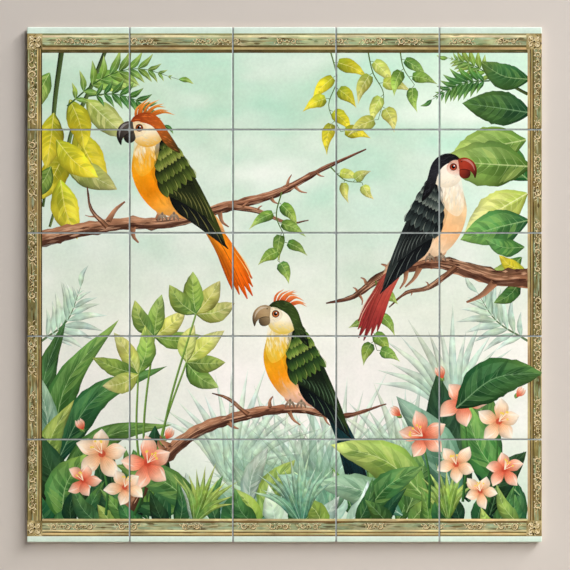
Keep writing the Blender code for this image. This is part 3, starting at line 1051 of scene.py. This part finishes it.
def shade(text):
    return (*linear(colour(text)), 1.0)


def makeObject(name, bm, finish):
    bmesh.ops.recalc_face_normals(bm, faces=bm.faces)
    mesh = bpy.data.meshes.new(name)
    bm.to_mesh(mesh)
    bm.free()
    mesh.materials.append(finish)
    thing = bpy.data.objects.new(name, mesh)
    scene.collection.objects.link(thing)
    return thing


# One tile: its shape in millimetres and its look
tileForm = {
    "edgeRadius": 1.2,      # rounding between the face and the sides
    "cornerRadius": 1.8,    # rounding of the four corners
    "edgeRows": 5,
    "cornerSteps": 6,
    "backChamfer": 0.5,
    "fineness": 3.9,        # spacing of the face's own points, which carry the soft washes
    "scatter": 0.22,        # how far they stray, as a share of that
    "bisque": "e6ddcb",
    "shadeSpread": 0.012,   # how much single tiles differ in lightness
    "clay": ("d9ceb8", "efe8da", "a08e74"),     # its two tones and its specks
    "grain": 0.04,          # the fine, the coarse and the broad unevenness of the print
    "granules": 0.06,
    "pooling": 0.2,         # more of the coarse one where the colour is dark
    "washes": 0.05,
    "roughness": (0.78, 0.13),      # of the bare clay and of the glaze
    "ripple": 0.00005,      # depth of the glaze's waves and of its dimples, in metres
    "peel": 0.000006,
}


# A rounded square about the tile's centre, a given distance inside the tile's outline
def roundedSquare(half, inset):
    radius = tileForm["cornerRadius"] - inset
    points = []
    for quarter in range(4):
        turn = np.radians(90 * quarter + np.linspace(0, 90, tileForm["cornerSteps"] + 1))
        signs = np.array([1 if quarter in (0, 3) else -1, 1 if quarter < 2 else -1])
        corner = (half - tileForm["cornerRadius"]) * signs
        points.append(corner + radius * np.stack([np.cos(turn), np.sin(turn)], 1))
    return np.vstack(points)


# How far inside the outline each point lies, and which way the outline faces there
def edgeDistance(points, half):
    core = half - tileForm["cornerRadius"]
    out = np.abs(points) - core
    over = np.maximum(out, 0)
    length = np.linalg.norm(over, axis=1)
    distance = tileForm["cornerRadius"] - length - np.minimum(out.max(1), 0)
    lead = np.where((length > 0)[:, None], over / np.maximum(length, 1e-9)[:, None],
                    (out == out.max(1)[:, None]).astype(float))
    return distance, lead * np.sign(points)


# The topmost solid shape above each outline point, or -1 where nothing covers it
def coveredBy(points, owner, near):
    order = np.argsort(points[:, 0])
    across = points[order, 0]
    cover = np.full(len(points), -1)
    for k, (outline, low, high, _, solid) in enumerate(near):
        if solid:
            first, last = np.searchsorted(across, (low[0], high[0]))
            under = order[first:last]
            under = under[(owner[under] < k) & (points[under, 1] > low[1]) & (points[under, 1] < high[1])]
            if len(under):
                cover[under[insideOf(points[under], outline)]] = k
    return cover


# The face is cut along every painted outline that shows, so that each colour ends on a clean edge
def cutFace(centre, half):
    radius = tileForm["edgeRadius"]
    rings = [roundedSquare(half, radius * (1 - math.cos(math.pi / 2 * k / tileForm["edgeRows"])))
             for k in range(tileForm["edgeRows"] + 1)]
    steps = int(2 * half / tileForm["fineness"])
    even = np.linspace(-half + 2 * radius, half - 2 * radius, steps)
    grid = np.stack(np.meshgrid(even, even), 2).reshape(-1, 2)
    stray = tileForm["scatter"]
    grid += dice.uniform(-stray, stray, grid.shape) * tileForm["fineness"]
    near = [s for s in shapes if (s[1] < centre + half).all() and (s[2] > centre - half).all()]

    outlines = np.vstack([s[0] for s in near]) - centre
    sizes = [len(s[0]) for s in near]
    owner = np.repeat(np.arange(len(near)), sizes)
    starts = np.cumsum([0] + sizes[:-1])
    follow = np.arange(len(outlines)) + 1
    follow[starts + np.array(sizes) - 1] = starts
    cover = coveredBy(outlines + centre, owner, near)
    hidden = (cover >= 0) & (cover == cover[follow])
    side = np.where(np.abs(outlines) > half + 0.5, np.sign(outlines), 0)
    beyond = ((side != 0) & (side == side[follow])).any(1)
    kept = np.nonzero(~hidden & ~beyond)[0]
    shown = np.unique(np.concatenate([kept, follow[kept]]))
    place = np.zeros(len(outlines), int)
    count = len(grid) + sum(len(ring) for ring in rings)
    place[shown] = count + np.arange(len(shown))
    points, edges, count = [grid], [], len(grid)
    for ring in rings:
        index = count + np.arange(len(ring))
        points.append(ring)
        edges.append(np.stack([index, np.roll(index, -1)], 1))
        count += len(ring)
    points.append(outlines[shown])
    edges.append(np.stack([place[kept], place[follow[kept]]], 1))
    spots = [Vector(p) for p in np.vstack(points)]
    result = delaunay_2d_cdt(spots, np.vstack(edges).tolist(), [], 0, 1e-3, False)
    corners = np.array([tuple(v) for v in result[0]])
    faces = np.array(result[2])
    middle = corners[faces].mean(1)
    faces = faces[edgeDistance(middle, half)[0] > 0]
    used = np.unique(faces)
    place = np.zeros(len(corners), int)
    place[used] = np.arange(len(used))
    lost = [cover[a] >= 0 and (cover[a:a + n] == cover[a]).all() for a, n in zip(starts, sizes)]
    return corners[used], place[faces], [s for s, gone in zip(near, lost) if not gone]


# The colour at each corner of each face, with the shapes laid over each other in the order they were painted
def paintFace(corners, faces, centre, near):
    spots = corners + centre
    middle = spots[faces].mean(1)
    order = np.argsort(middle[:, 0])
    middle, faces = middle[order], faces[order]
    hue = ground(spots)[faces]
    for outline, low, high, paint, _ in near:
        first, last = np.searchsorted(middle[:, 0], (low[0], high[0]))
        level = middle[first:last, 1]
        close = first + np.nonzero((level > low[1]) & (level < high[1]))[0]
        if len(close):
            close = close[insideOf(middle[close], outline)]
        if len(close):
            used, back = np.unique(faces[close], return_inverse=True)
            tone, cover = paint(spots[used])
            back = back.reshape(-1, 3)
            hue[close] += (np.clip(tone, 0, 1)[back] - hue[close]) * cover[back][..., None]
    result = np.empty_like(hue)
    result[order] = hue
    return result


def makeTile(node, finish):
    low, high = (Vector(corner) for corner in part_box(node))
    half = (high.x - low.x) * 500
    middle = np.array([(low.x + high.x) / 2 - cadLow.x, (low.z + high.z) / 2 - cadLow.z]) * 1000
    corners, faces, near = cutFace(middle, half)
    hue = paintFace(corners, faces, middle, near) * (1 + dice.normal(0, tileForm["shadeSpread"]))
    radius = tileForm["edgeRadius"]
    distance, lead = edgeDistance(corners, half)
    sunk = np.clip(radius - distance, 0, radius)
    drop = radius - np.sqrt(radius**2 - sunk**2)
    world = np.stack([(corners[:, 0] + middle[0]) / 1000 + cadLow.x, low.y + drop / 1000,
                      (corners[:, 1] + middle[1]) / 1000 + cadLow.z], 1)
    mesh = bpy.data.meshes.new(node + "_glazed")
    mesh.from_pydata(world.tolist(), [], faces.tolist())
    bm = bmesh.new()
    bm.from_mesh(mesh)
    rim = [e for e in bm.edges if e.is_boundary]
    chamfer = tileForm["backChamfer"] / 1000
    for inset, y in ((0, high.y - chamfer), (chamfer, high.y)):
        grown = bmesh.ops.extrude_edge_only(bm, edges=rim)["geom"]
        rim = [e for e in grown if isinstance(e, bmesh.types.BMEdge) and e.is_boundary]
        shrink = 1 - inset * 1000 / half
        for v in [g for g in grown if isinstance(g, bmesh.types.BMVert)]:
            v.co = ((low.x + high.x) / 2 + (v.co.x - (low.x + high.x) / 2) * shrink, y,
                    (low.z + high.z) / 2 + (v.co.z - (low.z + high.z) / 2) * shrink)
    bmesh.ops.edgeloop_fill(bm, edges=rim)
    bmesh.ops.recalc_face_normals(bm, faces=bm.faces)
    bm.to_mesh(mesh)
    bm.free()

    loops, fresh = len(mesh.loops), len(faces) * 3
    tones = np.ones((loops, 4))
    tones[:, :3] = linear(colour(tileForm["bisque"]))
    tones[:fresh, :3] = linear(np.clip(hue, 0, 1).reshape(-1, 3))
    mesh.color_attributes.new("paint", "FLOAT_COLOR", "CORNER").data.foreach_set("color", tones.ravel())
    glazed = np.zeros(loops)
    glazed[:fresh] = 1
    mesh.attributes.new("glazed", "FLOAT", "CORNER").data.foreach_set("value", glazed)

    # Normals follow the rounded edge exactly, so that the cut face shines as one surface
    flat = np.zeros(len(mesh.polygons) * 3)
    mesh.polygons.foreach_get("normal", flat)
    turns = np.repeat(flat.reshape(-1, 3), [p.loop_total for p in mesh.polygons], 0)
    lean = (sunk / radius)[:, None]
    curved = np.stack([lead[:, 0] * lean[:, 0], -np.sqrt(1 - lean[:, 0]**2), lead[:, 1] * lean[:, 0]], 1)
    turns[:fresh] = curved[faces.ravel()]
    mesh.polygons.foreach_set("use_smooth", [True] * len(mesh.polygons))
    mesh.normals_split_custom_set(turns.tolist())
    mesh.materials.append(finish)
    tile = bpy.data.objects.new(node + "_glazed", mesh)
    scene.collection.objects.link(tile)
    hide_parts(node)
    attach(tile, "root")
    return len(mesh.polygons)


# Printed colour under a clear glaze on the face, bare bisque on the sides and back
def glazeFinish():
    f = Finish("printed_glaze", IOR=1.5)
    look = tileForm
    paint = f.node("ShaderNodeAttribute", {"attribute_name": "paint"}, {}, "Color")
    glazed = f.node("ShaderNodeAttribute", {"attribute_name": "glazed"}, {}, "Fac")
    fine, granules, washes = f.noise(1100, 2), f.noise(230, 4, 0.65), f.noise(42, 4)
    density = 1 - f.node("ShaderNodeRGBToBW", {}, {"Color": paint})
    pooled = (granules - 0.5) * (look["granules"] + density * look["pooling"])
    tone = 1 + (fine - 0.5) * (2 * look["grain"]) + pooled * 2 + (washes - 0.5) * (2 * look["washes"])
    printed = f.blend(1.0, paint, tone, "MULTIPLY")
    specks = f.band(f.noise(900, 1), 0.66, 0.72)
    dark, pale, speck = (shade(tone) for tone in look["clay"])
    bisque = f.blend(specks * 0.4, f.blend(f.band(f.noise(90, 4), 0.35, 0.7), dark, pale), speck)
    hue = f.blend(glazed, bisque, printed)
    bare, gloss = look["roughness"]
    rough = bare + glazed * (gloss - bare) + f.band(f.noise(70, 3), 0.45, 0.8) * glazed * 0.07
    height = f.noise(38, 2) * look["ripple"] + f.noise(420, 1) * look["peel"]
    grainy = f.noise(1600, 3) * (1 - glazed) * 0.00012
    return f.give(Base_Color=hue, Roughness=rough, Normal=f.bump(height + grainy))


# The joints, in metres
groutForm = {
    "step": 0.004,           # spacing of the surface's points along a joint
    "stepsAcross": 6,
    "sides": 0.00028,        # how far below the faces the grout meets the tiles
    "hollow": 0.0004,        # how much deeper the middle of a joint lies
    "roundness": 0.7,        # below 1 the hollow gets a flatter floor
    "unevenness": 0.00009,
    "patch": 3.0,            # size of the uneven spots, in mm
    "cornerFill": 0.00055,   # how far the grout reaches under the rounded corners of the tiles
    "colours": ("8b928e", "a8aeaa", "686d6a", "c0c3bc"),    # cement, deep and pale, and sand, dark and light
}


# Sanded cement grout with dark and pale grains
def groutFinish():
    f = Finish("sanded_grout", IOR=1.45)
    deep, pale, darkSand, lightSand = (shade(tone) for tone in groutForm["colours"])
    base = f.blend(f.band(f.noise(160, 4), 0.3, 0.7), deep, pale)
    sand = f.noise(2600, 2)
    speckled = f.blend(f.band(sand, 0.42, 0.3) * 0.4, base, darkSand)
    hue = f.blend(f.band(sand, 0.58, 0.7) * 0.5, speckled, lightSand)
    return f.give(Base_Color=hue, Roughness=0.86 + f.noise(600) * 0.1, Normal=f.bump(sand, 0.00012))


# All the joints as one net: a hollow, slightly uneven surface that meets the tiles' rounded edges
def makeGrout(finish):
    low, high = (Vector(corner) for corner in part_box("grout"))
    form = groutForm

    def lines(axis, names):
        edges = [(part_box(a)[1][axis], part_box(b)[0][axis]) for a, b in zip(names, names[1:])]
        ends = sorted([low[axis], high[axis], *[v for pair in edges for v in pair]])
        at = []
        for a, b in zip(ends, ends[1:]):
            inJoint = (a, b) in edges
            parts = form["stepsAcross"] if inJoint else max(1, round((b - a) / form["step"]))
            at += [(a + (b - a) * k / parts, inJoint) for k in range(parts)]
        return at + [(ends[-1], False)], edges

    columns, acrossJoints = lines(0, [f"tile_row_1_column_{c + 1}" for c in range(mural["count"])])
    rows, upJoints = lines(2, [f"tile_row_{r + 1}_column_1" for r in reversed(range(mural["count"]))])
    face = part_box("tile_row_1_column_1")[0][1]

    def depthIn(value, joints):
        for a, b in joints:
            if a - 1e-7 <= value <= b + 1e-7:
                return 1 - abs(2 * (value - a) / (b - a) - 1)
        return 0.0

    bm = bmesh.new()
    cells = {}

    def corner(i, j):
        if (i, j) not in cells:
            x, z = columns[i][0], rows[j][0]
            u, v = depthIn(x, acrossJoints), depthIn(z, upJoints)
            sunk = math.sin(math.pi / 2 * min(1, max(u, v)))**form["roundness"]
            rough = blotches(np.array([[x, z]]) * 1000, form["patch"], 5)[0] * form["unevenness"]
            y = face + form["sides"] + form["hollow"] * sunk + rough * sunk
            onX = next((s for a, b in acrossJoints for s, e in ((-1, a), (1, b)) if abs(x - e) < 1e-7), 0)
            onZ = next((s for a, b in upJoints for s, e in ((-1, a), (1, b)) if abs(z - e) < 1e-7), 0)
            if onX and onZ:
                x, z = x + onX * form["cornerFill"], z + onZ * form["cornerFill"]
            cells[i, j] = bm.verts.new((x, y, z))
        return cells[i, j]

    for i, (_, inColumn) in enumerate(columns[:-1]):
        for j, (_, inRow) in enumerate(rows[:-1]):
            if inColumn or inRow:
                bm.faces.new([corner(i, j), corner(i + 1, j), corner(i + 1, j + 1), corner(i, j + 1)])
    grown = bmesh.ops.extrude_face_region(bm, geom=bm.faces[:])["geom"]
    for v in [g for g in grown if isinstance(g, bmesh.types.BMVert)]:
        v.co.y = high.y
    grout = makeObject("grout_joints", bm, finish)
    for polygon in grout.data.polygons:
        polygon.use_smooth = abs(polygon.normal.y) > 0.3
    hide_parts("grout")
    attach(grout, "root")
    return len(grout.data.polygons)


# The adhesive, in metres
bedForm = {
    "pitch": 0.0085,         # from one ridge of the notched trowel to the next
    "grooveDepth": 0.0011,
    "rows": 500,
    "columns": 60,
    "sweep": 0.012,          # how far the trowel's strokes swing up and down
    "swings": 6.4,           # and how fast, in radians per metre
    "waver": 0.0012,
    "squash": 0.32,          # how unevenly the ridges were pressed flat
    "ragged": 0.001,         # how far the rim draws back in places
    "rimSlope": 0.0004,
    # Cement, deep and pale, grit, dark and light, the painted light on the raised ridges and the painted
    # shade in the pores
    "colours": ("9d968b", "aea79c", "6f685e", "dad5c9", "dbd5cb", "5f594f"),
}


# Set tile adhesive: grey cement with sand grains, with painted light making the raised ridges paler and
# painted shade darkening the pores
def adhesiveFinish():
    f = Finish("set_adhesive", IOR=1.45)
    deep, pale, darkGrit, lightGrit, ridgeLight, hollow = (shade(tone) for tone in bedForm["colours"])
    base = f.blend(f.band(f.noise(24, 5, 0.6), 0.3, 0.7), deep, pale)
    grit = f.noise(1900, 3, 0.7)
    speckled = f.blend(f.band(grit, 0.42, 0.28) * 0.5, base, darkGrit)
    hue = f.blend(f.band(grit, 0.6, 0.72) * 0.45, speckled, lightGrit)
    # Painted light: the raised ridges are painted paler than the grooves between them, which read as painted
    # shade
    ridge = f.node("ShaderNodeAttribute", {"attribute_name": "raised"}, {}, "Fac")
    hue = f.blend(ridge * 0.6, hue, ridgeLight)
    # Painted shade: the small pits are painted dark, besides being dented by the bump
    pores = f.band(f.noise(330, 2), 0.36, 0.28)
    hue = f.blend(pores * 0.6, hue, hollow)
    return f.give(Base_Color=hue, Roughness=0.9 - ridge * 0.08,
                  Normal=f.bump(grit * 0.00018 - pores * 0.0003))


# The adhesive behind the tiles: combed ridges pressed flat against the wall, with open grooves between them
def makeBed(finish):
    low, high = (Vector(corner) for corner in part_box("adhesive_bed"))
    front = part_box("tile_row_1_column_1")[1][1]
    form = bedForm
    bm = bmesh.new()
    bmesh.ops.create_grid(bm, x_segments=form["columns"], y_segments=form["rows"], size=0.5)
    flat = np.array([tuple(v.co) for v in bm.verts])
    x = low.x + (flat[:, 0] + 0.5) * (high.x - low.x)
    z = low.z + (flat[:, 1] + 0.5) * (high.z - low.z)
    spots = np.stack([x, z], 1) * 1000
    sweep = form["sweep"] * np.sin(x * form["swings"] + 0.6) + form["waver"] * blotches(spots, 60, 2)
    wave = np.cos(2 * math.pi * (z + sweep) / form["pitch"]) + form["squash"] * blotches(spots, 40, 6)
    raised = np.clip(wave * 1.3 + 0.6, 0, 1)
    raised = raised * raised * (3 - 2 * raised)
    y = high.y - form["grooveDepth"] * (1 - raised) * (1 + 0.3 * blotches(spots, 9, 4)).clip(0, 1)
    edge = 0.5 - np.abs(flat[:, :2]).max(1)
    ragged = form["ragged"] * (0.5 + 0.5 * blotches(spots, 34, 9)).clip(0, 1) * (edge < 1e-6)
    y = y - (edge < 0.004) * form["rimSlope"]
    for v, px, py, pz, cut, f in zip(bm.verts, x, y, z, ragged, flat):
        v.co = (px - cut * np.sign(f[0]) * (abs(f[0]) > 0.4999), py,
                pz - cut * np.sign(f[1]) * (abs(f[1]) > 0.4999))
    rim = [e for e in bm.edges if e.is_boundary]
    grown = bmesh.ops.extrude_edge_only(bm, edges=rim)["geom"]
    for v in [g for g in grown if isinstance(g, bmesh.types.BMVert)]:
        v.co.y = front
    rim = [g for g in grown if isinstance(g, bmesh.types.BMEdge) and g.is_boundary]
    bmesh.ops.edgeloop_fill(bm, edges=rim)
    bed = makeObject("combed_adhesive", bm, finish)
    tops = np.zeros(len(bed.data.vertices))
    tops[:len(raised)] = raised
    bed.data.attributes.new("raised", "FLOAT", "POINT").data.foreach_set("value", tops)
    for polygon in bed.data.polygons:
        polygon.use_smooth = polygon.normal.y > 0.3
    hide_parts("adhesive_bed")
    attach(bed, "root")
    return len(bed.data.polygons)


# The room for the picture, in metres
studio = {
    "backdrop": ("cbc2b8", "c9c0b5"),
    "floor": ("d2cbc1", "d8d2c9"),
    "floorBelow": 0.6,
    "floorHalf": 2.6,
    "floorAhead": 1.15,         # how far it comes out in front of the wall
    "cameraDistance": 3.2,
    "frameWidth": 0.850,        # how much of the wall the picture takes in
    "aim": (0.0009, -0.0006),
    "sensor": 36,
    # Lamps: place, size and power, each turned to the mural
    "lamps": {
        "high": ((2.55, -6.0, 2.55), 1.7, 120),
        "main": ((3.4, -4.0, 3.4), 2.4, 139),
        "side": ((4.2, -2.8, 4.2), 2.4, 223),
        "rake": ((5.4, -1.8, 5.4), 2.2, 500),
        "back": ((-2.6, 4.6, 3.4), 3.0, 420),
    },
    "tint": (1.0, 1.005, 1.035),
    "ahead": 0.024,             # how bright the room is in front of the mural
    "around": 0.5,              # and to its sides
    "fade": (0.03, 0.2),        # where one runs into the other
    "roomLight": (1.0, 0.97, 0.94, 1.0),
    "wallHalf": (3.2, 2.6),     # the backdrop's reach to each side and upwards
    "wallLap": 0.006,           # how far the backdrop reaches in behind the mural's edge
}


def makeStudio():
    world = bpy.data.worlds.new("pale_room")
    scene.world = world
    world.use_nodes = True
    room = Nodes(world.node_tree)
    place = room.node("ShaderNodeTexCoord", {}, {}, "Generated")
    ahead = abs(room.node("ShaderNodeSeparateXYZ", {}, {"Vector": place}, "Y"))
    low, high = studio["fade"]
    fade = room.node("ShaderNodeMapRange", {"interpolation_type": "SMOOTHSTEP"},
                     {"Value": ahead, "From Min": low, "From Max": high, "To Min": studio["around"],
                      "To Max": studio["ahead"]})
    background = world.node_tree.nodes["Background"]
    background.inputs["Color"].default_value = studio["roomLight"]
    world.node_tree.links.new(fade.socket, background.inputs["Strength"])

    # The backdrop is open behind the mural, so that the back shows
    bm = bmesh.new()
    bmesh.ops.create_grid(bm, x_segments=3, y_segments=3, size=1)
    reach = (cadHigh.x - cadLow.x) / 2 - studio["wallLap"]
    wide, high = studio["wallHalf"]
    floorLevel = cadLow.z - studio["floorBelow"]
    for v in bm.verts:
        x = math.copysign(wide if abs(v.co.x) > 0.5 else reach, v.co.x)
        z = math.copysign(high if abs(v.co.y) > 0.5 else reach, v.co.y)
        v.co = (x, cadHigh.y, max(z, floorLevel))
    middle = min(bm.faces, key=lambda f: f.calc_center_median().length)
    bmesh.ops.delete(bm, geom=[middle], context="FACES")
    f = Finish("backdrop_paint")
    hue = f.blend(f.noise(1.6, 2), *(shade(tone) for tone in studio["backdrop"]))
    backdrop = makeObject("backdrop", bm, f.give(Base_Color=hue, Roughness=0.86 + f.noise(14) * 0.08))
    bm = bmesh.new()
    bmesh.ops.create_grid(bm, x_segments=1, y_segments=1, size=studio["floorHalf"])
    bmesh.ops.translate(bm, verts=bm.verts, vec=(0, studio["floorHalf"] - studio["floorAhead"], floorLevel))
    f = Finish("floor_paint")
    hue = f.blend(f.noise(6, 4), *(shade(tone) for tone in studio["floor"]))
    floor = makeObject("floor", bm, f.give(Base_Color=hue, Roughness=0.7 + f.noise(20) * 0.1))
    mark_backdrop(backdrop, floor)

    for name, (place, size, power) in studio["lamps"].items():
        light = bpy.data.lights.new(name, "AREA")
        light.energy, light.size, light.color = power, size, studio["tint"]
        lamp = bpy.data.objects.new(name, light)
        lamp.location = place
        lamp.rotation_euler = (-lamp.location).to_track_quat("-Z", "Y").to_euler()
        scene.collection.objects.link(lamp)

    lens = bpy.data.cameras.new("camera")
    lens.sensor_width = studio["sensor"]
    lens.lens = studio["sensor"] * (studio["cameraDistance"] + cadLow.y) / studio["frameWidth"]
    camera = bpy.data.objects.new("camera", lens)
    camera.location = (studio["aim"][0], -studio["cameraDistance"], studio["aim"][1])
    camera.rotation_euler = (math.pi / 2, 0, 0)
    scene.collection.objects.link(camera)
    scene.camera = camera


paintPicture()
print("picture painted:", len(shapes), "shapes")
glaze = glazeFinish()
triangles = 0
for r in range(mural["count"]):
    for c in range(mural["count"]):
        triangles += makeTile(f"tile_row_{r + 1}_column_{c + 1}", glaze)
    print("tile row", r + 1, "made:", triangles, "faces so far")
print("grout made:", makeGrout(groutFinish()), "faces")
print("adhesive made:", makeBed(adhesiveFinish()), "faces")
makeStudio()
print("studio set")
